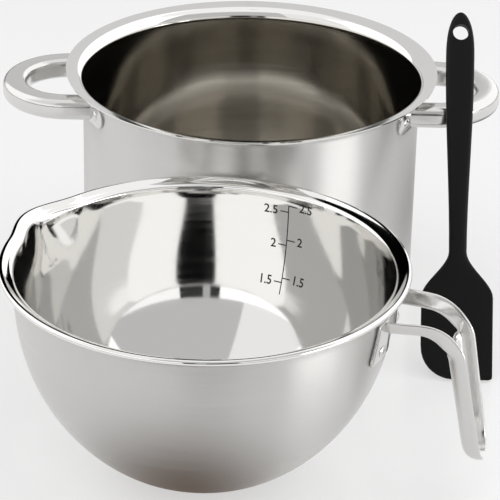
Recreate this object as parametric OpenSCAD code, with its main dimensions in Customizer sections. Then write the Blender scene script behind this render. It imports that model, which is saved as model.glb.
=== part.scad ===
// Double boiler set in stainless steel: a stock pot with a flared rim for the water, a round
// pouring bowl that hangs in that rim, and a one-piece silicone spatula.
// It is drawn as it is laid out for a photograph: the pot stands at the back, the bowl stands in
// front of it on the same table, and the spatula leans on the pot's right handle.
// Units are millimetres. The origin is the centre of the pot's base on the table, +X points to
// the pot's right handle, +Y to the back and +Z up.

/* [Pot] */

// Outside diameter of the pot's straight wall
pot_d = 203; // [195:1:212]
// Height of the pot, from the table to the top of its rim
pot_h = 141.5; // [125:0.5:175]
// Thickness of the pot's sheet
pot_sheet = 0.8; // [0.6:0.1:1.2]
// How far the flared rim reaches past the wall
flare_reach = 10.2; // [8:0.2:13]
// Inside radius of the curve where the flare leaves the wall
flare_curve = 7; // [5:0.5:8]
// Slope of the rim's outer lip, in degrees
flare_slope = 14; // [8:1:20]
// Radius of the curve between the wall and the floor
pot_corner = 14; // [8:1:20]
// Diameter of the flat layered base
base_d = 164; // [140:1:172]
// Thickness of the aluminium disc in the base
base_core = 4; // [2:0.5:7]
// Thickness of the steel cap that covers the disc
base_cap = 0.7; // [0.5:0.1:1.2]

/* [Pot handles] */

// Width of the handle's hollow section, seen from above
loop_w = 14.6; // [12:0.2:18]
// Height of the handle's hollow section
loop_t = 13; // [10:0.5:16]
// Thickness of the handle's sheet
loop_sheet = 1; // [0.8:0.1:1.5]
// Corner radius of the handle's section
loop_round = 4.6; // [3:0.2:5]
// Distance between the middles of a handle's two legs
loop_span = 65; // [56:1:76]
// Reach of a handle past the pot's wall
loop_reach = 48.6; // [42:0.2:56]
// Depth of the handles' middle below the top of the rim
loop_drop = 14.8; // [14:0.2:24]
// Thickness of the brackets that are welded to the wall
bracket_sheet = 1.2; // [0.8:0.1:2]
// Height of a bracket
bracket_h = 12; // [10:0.5:14]
// Length of a bracket round the wall
bracket_l = 29; // [26:0.5:32]
// Diameter of the weld buttons
button_d = 6.4; // [5:0.2:8]
// Height of the weld buttons
button_h = 1.1; // [0.8:0.1:1.6]

/* [Bowl] */

// Outside diameter of the bowl's rolled rim
bowl_d = 220; // [212:1:228]
// Height of the bowl, from the table to the top of its rim
bowl_h = 116; // [104:1:130]
// Thickness of the bowl's sheet
bowl_sheet = 0.8; // [0.6:0.1:1.2]
// Diameter of the bowl's flat base
bowl_base_d = 88; // [70:1:96]
// Radius of the rolled bead round the rim
bead_r = 1.75; // [1.4:0.05:2.2]
// Width of the narrow flange between the wall and the bead
lip_w = 5; // [4:0.2:6]
// Height of that flange
lip_h = 2.2; // [1.6:0.2:4]
// Reach of the pouring spout past the rim
spout_reach = 6; // [4:0.5:8]
// Half width of the spout, as an angle round the rim
spout_half = 17; // [13:1:22]
// Depth below the rim at which the spout has faded into the wall
spout_depth = 34; // [24:1:44]
// Direction of the spout, seen from above
spout_turn = 151; // [140:1:200]
// Clear space between the standing bowl's rim and the pot's wall
stand_gap = 0.5; // [0.3:0.1:6]
// Direction from the pot to the bowl, seen from above
stand_turn = 264; // [255:1:285]

/* [Bowl handle] */

// Direction of the bowl's handle, seen from above
handle_turn = -13; // [-20:1:0]
// Thickness of the handle's pressed sheet
strap_t = 2; // [1.6:0.1:2.6]
// Width of the handle's two legs
leg_w = 9; // [8:0.5:10]
// Depth of the grip's channel
grip_w = 10.4; // [9.6:0.2:12]
// Radius of the channel's two round bottom corners, outside
channel_round = 5; // [3:0.2:5]
// Half distance between the legs at the bowl
leg_spread = 18.7; // [17:0.1:20.5]
// Half distance between the sides of the grip at its top
grip_spread = 14.7; // [12:0.1:16.5]
// Half distance between the sides of the grip near its tip
tip_spread = 10.2; // [8.5:0.1:12]
// Length of the legs before they bend down
leg_l = 17; // [13:0.5:20]
// Radius of the bend between the legs and the grip
bend_r = 21.5; // [18:0.5:25]
// Angle of the bend
bend = 80; // [76:1:84]
// Length of the grip below the bend
grip_l = 64; // [54:1:66]
// Depth of the legs' middle below the top of the bowl's rim
leg_drop = 15.3; // [15:0.1:18]
// Diameter of the rivets in the handle's tabs
rivet_d = 6.6; // [5.5:0.1:7.5]

/* [Spatula] */

// Length of the spatula
spatula_l = 217; // [200:1:240]
// Width of the blade
blade_w = 42; // [38:1:46]
// Length of the blade up to its shoulders
blade_l = 48; // [42:1:54]
// Thickness of the handle
spatula_t = 8; // [7:0.2:10]
// Diameter of the hole that it hangs by
hang_d = 9.4; // [7:0.2:9.8]
// Lean of the spatula from upright, in degrees
lean = 33; // [28:1:36]
// Distance from the pot's wall to the middle of the spatula
spatula_out = 21.5; // [17:0.5:26]
// Width of the stiff core in the handle
core_w = 6; // [4:0.5:7]
// Thickness of the stiff core in the handle
core_t = 2.6; // [2:0.1:3.5]

/* [Hidden] */

// Space left between pieces that only touch
touch = 0.3;
// Smallest overlap of two shapes that are one solid
weld = 0.4;
// How full the bowl's wall is near the base, and how steep it is under the rim
full = 1.25;
steep = 2.48;

pot_r = pot_d / 2;
rim_r = pot_r + flare_reach;
base_h = base_core + base_cap;

// The flared rim in section: a curve, then a straight lip that still rises a little
flare_turn = 90 - flare_slope;
flare_end = [pot_r - pot_sheet / 2 + flare_curve * (1 - cos(flare_turn)),
             flare_curve * sin(flare_turn)];
flare_rise = (rim_r - flare_end[0]) * tan(flare_slope);
flare_z = pot_h - flare_end[1] - flare_rise - pot_sheet / 2 / cos(flare_slope);

// Each pot handle is half a ring on two straight legs, and sits on the brackets' outer faces
loop_z = pot_h - loop_drop;
loop_r = loop_span / 2;
loop_x = pot_r + loop_reach - loop_w / 2 - loop_r;
seat_r = pot_r + bracket_sheet;
leg_turn = asin(loop_r / pot_r);
bracket_turn = leg_turn + 5;
button_turn = leg_turn + 7.6;

bowl_r = bowl_d / 2;
bead_z = bowl_h - bead_r;
bead_mid = bowl_r - bead_r;
wall_top = bead_mid - bead_r / 2 - lip_w;
wall_h = bead_z - lip_h;
bowl_away = pot_r + bowl_r + stand_gap;
bowl_at = [bowl_away * cos(stand_turn), bowl_away * sin(stand_turn), 0];

// The bowl handle's legs end on tabs that hang down the bowl's wall
leg_z = bowl_h - leg_drop;
tab_gap = 0.2;
tab_sheet = 1.5;
tab_low = leg_z - 18.3;
tab_high = leg_z + leg_w / 2 - 0.4;
rivet_z = tab_low + 5;
rivet_h = 1.4;
rivet_slope = atan((bowl_wall(rivet_z + 1) - bowl_wall(rivet_z - 1)) / 2);
leg_root = sqrt(pow(bowl_wall(leg_z) + tab_gap + tab_sheet / 2, 2) - pow(leg_spread, 2));
leg_tilt = 28;
grip_tilt = 4;
tip_l = 8;

// The blade's thin edge, its large round corner and its small one, the neck above it, the
// round top of the handle and the distance of the hang hole from that top
edge_t = 2.2;
heel_r = 20;
toe_r = 2;
neck_l = 27;
top_l = 26;
hang_in = 12;

// Which piece to draw

// Colours

steel = [0.78, 0.78, 0.78];
polished = [0.86, 0.86, 0.87];
aluminium = [0.7, 0.71, 0.73];
silicone = [0.06, 0.06, 0.06];

// Helpers

function mix(a, b, t) = a + (b - a) * t;
function ramp(t) = let (u = min(max(t, 0), 1)) u * u * (3 - 2 * u);
function arc(centre, r, from, to, n) =
    [for (i = [0:n]) centre + r * [cos(mix(from, to, i / n)), sin(mix(from, to, i / n))]];

// A closed skin through rings of the same number of points, each ring flat at both ends
module skin(rings) {
    m = len(rings[0]);
    n = len(rings);
    polyhedron(
        points = [for (ring = rings) each ring],
        faces = concat(
            [[for (j = [0:m - 1]) j]],
            [for (i = [0:n - 2], j = [0:m - 1])
                [i * m + j, (i + 1) * m + j, (i + 1) * m + (j + 1) % m]],
            [for (i = [0:n - 2], j = [0:m - 1])
                [i * m + j, (i + 1) * m + (j + 1) % m, i * m + (j + 1) % m]],
            [[for (j = [m - 1:-1:0]) (n - 1) * m + j]]));
}

// A rectangle with round corners, as points anticlockwise round its middle
function round_box(w, t, r, n) = [for (k = [0:3]) each
    arc([(k == 0 || k == 3 ? 1 : -1) * (w / 2 - r), (k < 2 ? 1 : -1) * (t / 2 - r)],
        r, 90 * k, 90 * k + 90, n)];

// Pot

// The sheet's outline in section, pushed off its middle line by side * half the sheet
function pot_side(side) = let (
    h = side * pot_sheet / 2,
    mid = pot_r - pot_sheet / 2,
    floor_z = base_h + pot_sheet / 2,
    curve = pot_corner + pot_sheet / 2)
    concat(
        [[0, floor_z - h]],
        arc([mid - curve, floor_z + curve], curve + h, -90, 0, 10),
        arc([mid + flare_curve, flare_z], flare_curve - h, 180, 180 - flare_turn, 10),
        [[rim_r - h * sin(flare_slope),
          flare_z + flare_end[1] + flare_rise - h * cos(flare_slope)]]);

module pot_body() color(steel) {
    inner = pot_side(-1);
    rotate_extrude($fn = 96)
        polygon(concat(pot_side(1), [for (i = [len(inner) - 1:-1:0]) inner[i]]));
}

module pot_base_core() color(aluminium)
    translate([0, 0, base_cap]) cylinder(d = base_d - 2 * base_cap, h = base_core, $fn = 96);

// The cap is a shallow dish that wraps the disc's edge
module pot_base_cap() color(steel) difference() {
    cylinder(d = base_d, h = base_h, $fn = 96);
    translate([0, 0, base_cap]) cylinder(d = base_d - 2 * base_cap, h = base_h, $fn = 96);
}

// Pot handles: each is a hollow loop that ends on two brackets

function loop_path(u) = abs(u) > 90
    ? [mix(loop_x, pot_r - 14, (abs(u) - 90) / 30), sign(u) * loop_r]
    : [loop_x, 0] + loop_r * [cos(u), sin(u)];
function loop_side(u) = let (v = min(max(u, -90), 90)) [cos(v), sin(v)];
loop_steps = [120, 90, 78, 66, 54, 42, 30, 18, 6, -6, -18, -30, -42, -54, -66, -78, -90, -120];

module loop_solid(shrink) {
    ring = round_box(loop_w - 2 * shrink, loop_t - 2 * shrink, loop_round - shrink, 4);
    skin([for (u = loop_steps) [for (p = ring)
        [loop_path(u)[0] + p[0] * loop_side(u)[0],
         loop_path(u)[1] + p[0] * loop_side(u)[1],
         loop_z + p[1]]]]);
}

module pot_handle() difference() {
    loop_solid(0);
    loop_solid(loop_sheet);
    translate([0, 0, loop_z - loop_t]) cylinder(r = seat_r, h = 2 * loop_t, $fn = 96);
}

module pot_handle_right() color(polished) pot_handle();

module pot_handle_left() color(polished) mirror([1, 0, 0]) pot_handle();

// A bracket is a curved plate with round ends, and a plug that fills the end of the handle's leg
module bracket() {
    slack = 2 * loop_sheet + 2 * touch;
    plug_ring = round_box(loop_t - slack, loop_w - slack, loop_round - slack / 2, 4);
    rotate(bracket_turn) intersection() {
        translate([0, 0, loop_z - bracket_h]) difference() {
            cylinder(r = seat_r, h = 2 * bracket_h, $fn = 96);
            translate([0, 0, -1]) cylinder(r = pot_r, h = 2 * bracket_h + 2, $fn = 96);
        }
        translate([0, 0, loop_z]) rotate([0, 90, 0]) linear_extrude(height = 2 * pot_r)
            union() {
                square([bracket_h, bracket_l - bracket_h], center = true);
                for (s = [-1, 1]) translate([0, s * (bracket_l - bracket_h) / 2])
                    circle(d = bracket_h, $fn = 32);
            }
    }
    difference() {
        translate([0, loop_r, loop_z]) rotate([0, 90, 0])
            linear_extrude(height = pot_r + 6) polygon(plug_ring);
        translate([0, 0, loop_z - loop_t])
            cylinder(r = pot_r + bracket_sheet / 2, h = 2 * loop_t, $fn = 96);
    }
}

module bracket_right_back() color(polished) bracket();

module bracket_right_front() color(polished) mirror([0, 1, 0]) bracket();

module bracket_left_back() color(polished) mirror([1, 0, 0]) bracket();

module bracket_left_front() color(polished) mirror([1, 0, 0]) mirror([0, 1, 0]) bracket();

// A low round button with a domed face, flat on the plate that it stands on
module dome_button(d, h) {
    dome_r = (d * d / 4 + h * h) / (2 * h);
    intersection() {
        cylinder(d = d, h = h, $fn = 32);
        translate([0, 0, h - dome_r]) sphere(r = dome_r, $fn = 48);
    }
}

module button() rotate(button_turn) translate([seat_r, 0, loop_z]) rotate([0, 90, 0])
    dome_button(button_d, button_h);

module button_right_back() color(polished) button();

module button_right_front() color(polished) mirror([0, 1, 0]) button();

module button_left_back() color(polished) mirror([1, 0, 0]) button();

module button_left_front() color(polished) mirror([1, 0, 0]) mirror([0, 1, 0]) button();

// Bowl: a flat base, a wall that steepens all the way up, a narrow flange and a rolled bead

wall_steps = [for (i = [0:12]) 90 * pow(i / 12, 0.9)];
function wall_point(t) = [
    mix(bowl_base_d / 2, wall_top, pow(sin(t), 2 / full)),
    wall_h * (1 - pow(cos(t), 2 / steep))];

// The wall's outside radius at a height, for pieces that seat on it
function bowl_wall(z) = let (
    u = min(max(1 - z / wall_h, 0), 1),
    s = pow(1 - pow(u, steep), 1 / full),
    straight = mix(bowl_base_d / 2, wall_top, s))
    z <= wall_h ? straight : wall_top + lip_out((z - wall_h) / lip_h);

// How far the flange stands out from the wall, from its foot at 0 to the bead at 1
function lip_out(t) = lip_w * pow(t, 1.6);

// Outline of the sheet in section: up the outside, over the bead and down the inside
bowl_outside = concat(
    [for (t = wall_steps) wall_point(t)],
    [for (i = [1:3]) [wall_top + lip_out(i / 4), wall_h + lip_h * i / 4]]);
function bowl_inside(i) = let (
    before = i == 0 ? [0, 0] : bowl_outside[i - 1],
    run = bowl_outside[min(i + 1, len(bowl_outside) - 1)] - before)
    bowl_outside[i] + bowl_sheet * [-run[1], run[0]] / norm(run);
bowl_section = concat(
    bowl_outside,
    arc([bead_mid, bead_z], bead_r, 190, 360, 5),
    arc([bead_mid, bead_z], bead_r, 25, 125, 4),
    [for (i = [len(bowl_outside) - 1:-1:0]) bowl_inside(i)]);

// How far the spout pushes the sheet out, at a direction and a height
function spout_push(turn, z) = let (away = abs((turn - spout_turn + 540) % 360 - 180))
    away >= spout_half ? 0
    : spout_reach * pow(cos(90 * away / spout_half), 2) * ramp(1 - (bowl_h - z) / spout_depth);
bowl_turns = [for (k = [0:95]) k * 3.75];

module bowl_body() color(steel) translate(bowl_at)
    skin([for (p = bowl_section) [for (turn = bowl_turns) let (r = p[0] + spout_push(turn, p[1]))
        [r * cos(turn), r * sin(turn), p[1]]]]);

// Bowl handle: a pressed strap whose two legs come together in a channel-shaped grip.
// It is drawn pointing along +X from the bowl's middle, then turned into place.

bend_l = bend_r * bend * PI / 180;
strap_l = leg_l + bend_l + grip_l;

// Middle line of a side of the strap, by the length s from the bowl: reach, height, direction
function strap_mid(s) = s < leg_l ? [leg_root + s, leg_z, 0]
    : s < leg_l + bend_l
    ? let (a = (s - leg_l) / bend_l * bend)
        [leg_root + leg_l + bend_r * sin(a), leg_z - bend_r * (1 - cos(a)), a]
    : let (g = s - leg_l - bend_l)
        [leg_root + leg_l + bend_r * sin(bend) + g * cos(bend),
         leg_z - bend_r * (1 - cos(bend)) - g * sin(bend), bend];
// The tip narrows over its last stretch, from 1 down to a blunt end
function tip(s) = let (u = min(max((s - (strap_l - tip_l)) / tip_l, 0), 1)) sqrt(1 - u * u * 0.84);
// The legs come together towards the bend, and the grip narrows from there to its tip
function strap_out(s) = tip(s) * (mix(leg_spread, grip_spread, ramp(s / (leg_l + bend_l * 0.8)))
    - (grip_spread - tip_spread) * max(s - leg_l - bend_l, 0) / grip_l);
function strap_w(s) = mix(leg_w, grip_w, ramp((s - leg_l - bend_l * 0.6) / bend_l / 0.35))
    * mix(1, tip(s), 0.75);
function strap_lean(s) = mix(leg_tilt, grip_tilt, ramp((s - leg_l) / bend_l / 0.7));

// A point off the middle line: up stands away from the bowl's side of the strap, out is sideways
function strap_point(s, up, out) = let (m = strap_mid(s))
    [m[0] + up * sin(m[2]), out, m[1] + up * cos(m[2])];

// The back leg, from its tab to just inside the grip. Its section is a little smaller than the
// grip's side, so that its end stays within it.
web_from = leg_l + bend_l * 0.82;
leg_steps = concat([for (i = [0:9]) web_from * i / 9], [web_from + 0.5, web_from + 3]);
module strap_leg() skin([for (s = leg_steps) let (
    tilt = strap_lean(s),
    inset = s > web_from ? 0.5 : 0.2,
    ring = round_box(strap_w(s) - inset * 2, strap_t - inset, (strap_t - inset) / 2 - 0.05, 2))
    [for (q = ring) strap_point(s, q[0] * cos(tilt) + q[1] * sin(tilt),
        strap_out(s) + q[0] * sin(tilt) - q[1] * cos(tilt))]]);

// The grip's channel in section: open away from the bowl, and solid at the tip
function channel(s) = let (
    w = strap_w(s), spread = w / 2 * sin(strap_lean(s)),
    foot = strap_out(s) - spread, lip = strap_out(s) + spread,
    shut = ramp((s - (strap_l - tip_l - 4)) / tip_l),
    outer = min(channel_round, foot + strap_t / 2 - 0.2, w / 2),
    inner = mix(outer - strap_t, 0.5, shut),
    bed = mix(strap_t - w / 2, w / 2 - strap_t / 2 - 0.8, shut))
    concat(
        arc([foot + strap_t / 2 - outer, outer - w / 2], outer, -90, 0, 5),
        arc([lip, w / 2 - strap_t / 2], strap_t / 2, 0, 180, 4),
        arc([foot - strap_t / 2 - inner, bed + inner], inner, 0, -90, 4),
        arc([strap_t / 2 + inner - foot, bed + inner], inner, -90, -180, 4),
        arc([-lip, w / 2 - strap_t / 2], strap_t / 2, 0, 180, 4),
        arc([outer - strap_t / 2 - foot, outer - w / 2], outer, 180, 270, 5));
grip_steps = concat(
    [for (i = [0:3]) mix(web_from, leg_l + bend_l, i / 3)],
    [for (i = [1:5]) mix(leg_l + bend_l, strap_l - tip_l - 4, i / 5)],
    [strap_l - tip_l - 2], [for (u = [0, 0.25, 0.5, 0.7, 0.85, 0.95, 1]) strap_l - tip_l + tip_l * u]);
module strap_grip() skin([for (s = grip_steps)
    [for (q = channel(s)) strap_point(s, q[1], q[0])]]);

// A tab follows the bowl's wall below its leg, and widens downwards
tab_turn = atan(leg_spread / leg_root) + 1;
tab_rows = [for (i = [0:6]) mix(tab_low, tab_high, i / 6)];
function tab_half(z) = let (t = (z - tab_low) / (tab_high - tab_low))
    mix(7, 3.4, t) * sqrt(1 - pow(max(0.15 - t, 0) / 0.15, 2) * 0.3);
module tab(side) skin([for (z = tab_rows) let (
    inner = bowl_wall(z) + tab_gap, outer = inner + tab_sheet, half = tab_half(z))
    [for (q = concat([for (i = [0:4]) [outer, mix(-half, half, i / 4)]],
                     [for (i = [4:-1:0]) [inner, mix(-half, half, i / 4)]]))
        [q[0] * cos(side * tab_turn + q[1]), q[0] * sin(side * tab_turn + q[1]), z]]]);

module on_bowl() translate(bowl_at) rotate(handle_turn) children();

// Where a rivet stands: at the tab's inner face, square to the sloping wall
module at_rivet(side) rotate(side * tab_turn)
    translate([bowl_wall(rivet_z) + tab_gap, 0, rivet_z]) rotate([0, 90 + rivet_slope, 0])
        children();

module bowl_handle() color(polished) on_bowl() difference() {
    union() {
        strap_leg();
        mirror([0, 1, 0]) strap_leg();
        strap_grip();
        for (side = [-1, 1]) tab(side);
    }
    for (side = [-1, 1]) at_rivet(side) translate([0, 0, -tab_sheet])
        cylinder(d = rivet_d / 2 + 2 * touch, h = 3 * tab_sheet, $fn = 32);
}

// A rivet's shank fills the hole in the tab, and its domed head covers it
module bowl_rivet(side) on_bowl() at_rivet(side) {
    translate([0, 0, tab_sheet + touch]) dome_button(rivet_d, rivet_h);
    cylinder(d = rivet_d / 2, h = tab_sheet + touch + weld, $fn = 32);
}

module bowl_rivet_front() color(polished) bowl_rivet(-1);

module bowl_rivet_back() color(polished) bowl_rivet(1);

// Spatula: drawn upright along +Z with its back to +Y, then leaned on the pot's handle

// Half the blade's width on a side whose lower corner is round with radius r
function blade_half(z, r) = blade_w / 2 - (z < r ? r * (1 - sqrt(1 - pow(1 - z / r, 2.2))) : 0);
// The handle widens from the neck upwards, and its top is round
function grip_half(z) = let (foot = blade_l + neck_l)
    mix(5.2, 8.4, ramp((z - foot) / (spatula_l - foot - 32)));
function top_round(z) = sqrt(1 - pow(max(z - spatula_l + top_l, 0) / top_l, 2.4) * 0.96);
function neck_part(z) = ramp((z - blade_l) / neck_l);
function side_half(z, r) = mix(blade_half(z, r), grip_half(z) * top_round(z), neck_part(z));
function thick(z) = z < blade_l ? mix(edge_t, 4.6, z / blade_l)
    : mix(4.6, spatula_t, neck_part(z)) * mix(1, top_round(z), 0.5);
spatula_rows = concat([0, 0.6, 1.3, 2, 4, 7, 10.5, 15, 20, blade_l - 8, blade_l],
    [for (i = [1:8]) blade_l + neck_l * i / 8],
    [for (i = [1:5]) mix(blade_l + neck_l, spatula_l - top_l, i / 5)],
    [for (u = [0.2, 0.4, 0.6, 0.76, 0.88, 0.96, 1]) spatula_l - top_l + top_l * u]);

module spatula_solid() skin([for (z = spatula_rows) let (
    left = side_half(z, heel_r), right = side_half(z, toe_r),
    t = thick(z), edge = min(t / 2 - 0.05, 3.2),
    ring = round_box(left + right, t, edge, 3))
    [for (p = ring) [p[0] + (right - left) / 2, p[1], z]]]);

// The spatula's flat back rests where the handle's leg begins to curve: how far the leg's
// outer side has come in there, and the distance from its middle to the spatula's middle
rest_x = max(pot_r + spatula_out - 4.9 - loop_x, 0);
rest_in = loop_r + loop_w / 2 - sqrt(pow(loop_r + loop_w / 2, 2) - pow(rest_x, 2));
lean_reach = (loop_w / 2 - loop_round) * cos(lean) + (loop_t / 2 - loop_round) * sin(lean)
    + loop_round + touch + spatula_t / 2;
foot_lift = edge_t / 2 * sin(lean) + touch;
spatula_y = rest_in - loop_r - (lean_reach + (loop_z - foot_lift) * sin(lean)) / cos(lean);

module leaned() translate([pot_r + spatula_out, spatula_y, foot_lift]) rotate([-lean, 0, 0]) children();

module core_bar() translate([-core_w / 2, -core_t / 2, blade_l - 12])
    cube([core_w, core_t, spatula_l - blade_l - 22]);

module spatula_body() color(silicone) leaned() difference() {
    spatula_solid();
    translate([0, 0, spatula_l - hang_in]) rotate([90, 0, 0])
        cylinder(d = hang_d, h = 2 * spatula_t, center = true, $fn = 48);
    core_bar();
}

module spatula_core() color(steel) leaned() core_bar();

pot_body();
pot_base_core();
pot_base_cap();
pot_handle_left();
pot_handle_right();
bracket_left_front();
bracket_left_back();
bracket_right_front();
bracket_right_back();
button_left_front();
button_left_back();
button_right_front();
button_right_back();
bowl_body();
bowl_handle();
bowl_rivet_front();
bowl_rivet_back();
spatula_body();
spatula_core();
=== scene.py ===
from math import acos, asin, atan, cos, degrees, pi, radians, sin, sqrt, tan

import bpy
from bpy.props import FloatProperty, FloatVectorProperty, PointerProperty
from bpy.types import Operator, Panel, PropertyGroup
from mathutils import Matrix, Vector


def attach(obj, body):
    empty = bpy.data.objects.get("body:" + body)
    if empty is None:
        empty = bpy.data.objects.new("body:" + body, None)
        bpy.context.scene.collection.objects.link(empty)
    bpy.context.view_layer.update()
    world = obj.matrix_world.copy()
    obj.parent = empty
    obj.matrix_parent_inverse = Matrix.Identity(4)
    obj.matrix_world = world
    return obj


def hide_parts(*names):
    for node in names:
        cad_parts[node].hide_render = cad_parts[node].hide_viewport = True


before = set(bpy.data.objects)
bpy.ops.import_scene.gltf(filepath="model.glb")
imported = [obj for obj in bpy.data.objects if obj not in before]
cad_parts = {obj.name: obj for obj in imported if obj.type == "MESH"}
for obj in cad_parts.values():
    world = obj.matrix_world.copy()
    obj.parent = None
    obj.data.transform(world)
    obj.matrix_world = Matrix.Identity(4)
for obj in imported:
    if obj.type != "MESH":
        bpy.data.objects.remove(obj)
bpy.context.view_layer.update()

# A stainless double boiler set, laid out as for a photograph: a stock pot with a flared rim and
# two loop handles, a round pouring bowl with a hooked handle in front of it, and a black
# silicone spatula that leans on the pot's right handle. Lengths are in metres, angles in degrees.
# The origin is the centre of the pot's base, +X is its right handle, -Y is the bowl's side.

bl_info = {
    "name": "Double boiler set",
    "version": (1, 0, 0),
    "blender": (4, 5, 0),
    "location": "View3D > Sidebar > Cookware",
    "description": "Stainless pot, pouring bowl and silicone spatula, with their studio stage",
    "category": "Object",
}

MM = 0.001


def length(name, about, mm):
    """A size property, written in millimetres and kept in metres."""
    return FloatProperty(name=name, description=about, default=mm * MM, unit="LENGTH", precision=5)


def angle(name, about, value):
    """An angle property in degrees."""
    return FloatProperty(name=name, description=about, default=value)


# Sizes

class PotSizes(PropertyGroup):
    radius: length("Radius", "Outside radius of the pot's wall", 101.5)
    height: length("Height", "Height of the pot to the top of its rim", 141.5)
    sheet: length("Sheet", "Thickness of the pot's sheet", 0.8)
    flare_reach: length("Flare reach", "How far the rim reaches past the wall", 10.2)
    flare_curve: length("Flare curve", "Radius of the curve under the flare", 7)
    flare_slope: angle("Flare slope", "Slope of the rim's outer lip", 14)
    corner: length("Corner", "Radius between the wall and the floor", 14)
    base_radius: length("Base radius", "Radius of the layered base", 82)
    base_core: length("Core", "Thickness of the aluminium disc", 4)
    base_cap: length("Cap", "Thickness of the steel cap under the disc", 0.7)


class LoopSizes(PropertyGroup):
    width: length("Width", "Width of the handle's section, seen from above", 14.6)
    height: length("Height", "Height of the handle's section", 13)
    corner: length("Corner", "Corner radius of the section", 4.6)
    radius: length("Bend radius", "Radius of the handle's half ring", 32.5)
    reach: length("Reach", "Reach of the handle past the pot's wall", 48.6)
    drop: length("Drop", "Depth of the handle's middle below the rim", 14.8)
    plate: length("Plate", "Thickness of the brackets", 1.2)
    plate_height: length("Plate height", "Height of a bracket", 12)
    plate_length: length("Plate length", "Length of a bracket round the wall", 29)
    button: length("Button", "Radius of the weld buttons", 3.2)
    button_height: length("Button height", "Height of the weld buttons", 1.1)
    plate_turn: angle("Plate turn", "Way from a leg to its bracket's middle, round the pot", 5)
    button_turn: angle("Button turn", "Way from a leg to its button, round the pot", 7.6)


class BowlSizes(PropertyGroup):
    radius: length("Radius", "Outside radius of the rolled rim", 110)
    height: length("Height", "Height of the bowl to the top of its rim", 116)
    sheet: length("Sheet", "Thickness of the bowl's sheet", 0.8)
    base_radius: length("Base radius", "Radius of the flat base", 44)
    full: FloatProperty(name="Fullness", description="Roundness of the wall low down", default=1.25)
    steep: FloatProperty(name="Steepness", description="Steepness under the rim", default=2.48)
    bead: length("Bead", "Radius of the rolled bead", 1.75)
    lip_width: length("Lip width", "Width of the narrow flange under the bead", 5)
    lip_height: length("Lip height", "Height of that flange", 2.2)
    spout_reach: length("Spout reach", "Reach of the spout past the rim", 6)
    spout_half: angle("Spout half width", "Half width of the spout round the rim", 17)
    spout_depth: length("Spout depth", "Depth at which the spout has faded away", 34)
    spout_turn: angle("Spout turn", "Direction of the spout from above", 151)
    gap: length("Gap", "Space between the bowl's rim and the pot's wall", 0.5)
    turn: angle("Turn", "Direction from the pot to the bowl", 264)


class StrapSizes(PropertyGroup):
    turn: angle("Turn", "Direction of the bowl's handle from above", -13)
    sheet: length("Sheet", "Thickness of the pressed strap", 2)
    leg_width: length("Leg width", "Width of the two legs", 9)
    grip_depth: length("Grip depth", "Depth of the grip's channel", 10.4)
    channel_round: length("Channel round", "Outside radius of the channel's corners", 5)
    leg_spread: length("Leg spread", "Half distance between the legs at the bowl", 18.7)
    grip_spread: length("Grip spread", "Half distance between the grip's sides at its top", 14.7)
    tip_spread: length("Tip spread", "The same near the grip's tip", 10.2)
    leg_length: length("Leg length", "Length of the legs before the bend", 17)
    bend_radius: length("Bend radius", "Radius of the bend", 21.5)
    bend: angle("Bend", "Angle of the bend", 80)
    grip_length: length("Grip length", "Length of the grip below the bend", 64)
    leg_drop: length("Leg drop", "Depth of the legs below the bowl's rim", 15.3)
    leg_tilt: angle("Leg tilt", "How far the legs' tops lean outwards", 28)
    grip_tilt: angle("Grip tilt", "How far the grip's sides lean outwards", 4)
    tab_gap: length("Tab gap", "Space between the tabs and the bowl's wall", 0.2)
    tab_sheet: length("Tab sheet", "Thickness of the tabs", 1.5)
    tab_length: length("Tab length", "Reach of the tabs below the legs", 18.3)
    tip_length: length("Tip length", "Length over which the grip's tip closes", 11)
    tab_low: angle("Tab foot", "Half width of a tab at its lower end, round the bowl", 7)
    tab_high: angle("Tab head", "Half width of a tab at its upper end, round the bowl", 3.4)
    rivet: length("Rivet", "Radius of the rivet heads", 3.3)
    rivet_height: length("Rivet height", "Height of the rivet heads", 1.4)
    rivet_rise: length("Rivet rise", "Height of the rivets above the tabs' lower ends", 5)


class SpatulaSizes(PropertyGroup):
    length: length("Length", "Length of the spatula", 217)
    blade_width: length("Blade width", "Width of the blade", 42)
    blade_length: length("Blade length", "Length of the blade to its shoulders", 48)
    neck_length: length("Neck length", "Length of the neck above the blade", 27)
    thickness: length("Thickness", "Thickness of the handle", 8)
    edge: length("Edge", "Thickness of the blade's edge", 2.2)
    root: length("Root", "Thickness of the blade at its shoulders", 4.6)
    grip_low: length("Grip low", "Half width of the handle above the neck", 5.2)
    grip_high: length("Grip high", "Half width of the handle near its top", 8.4)
    heel: length("Heel", "Radius of the blade's large round corner", 20)
    toe: length("Toe", "Radius of the blade's small corner", 2)
    top: length("Top", "Length of the handle's round top", 26)
    hang_in: length("Hole place", "Distance of the hang hole from the top", 12)
    hang_radius: length("Hole radius", "Radius of the hang hole", 4.7)
    lean: angle("Lean", "Lean of the spatula from upright", 33)
    out: length("Place", "Distance from the pot's wall to the spatula's middle", 21.5)


def colour(name, about, hex_value):
    """A colour property from an sRGB hex value."""
    return FloatVectorProperty(name=name, description=about, subtype="COLOR", size=3, min=0, max=1,
                               default=to_linear(hex_value))


def to_linear(hex_value):
    """Turns an sRGB hex value such as "c8c8c8" into linear red, green and blue."""
    parts = [int(hex_value[i:i + 2], 16) / 255 for i in (0, 2, 4)]
    return tuple(p / 12.92 if p <= 0.04045 else ((p + 0.055) / 1.055) ** 2.4 for p in parts)


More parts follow.
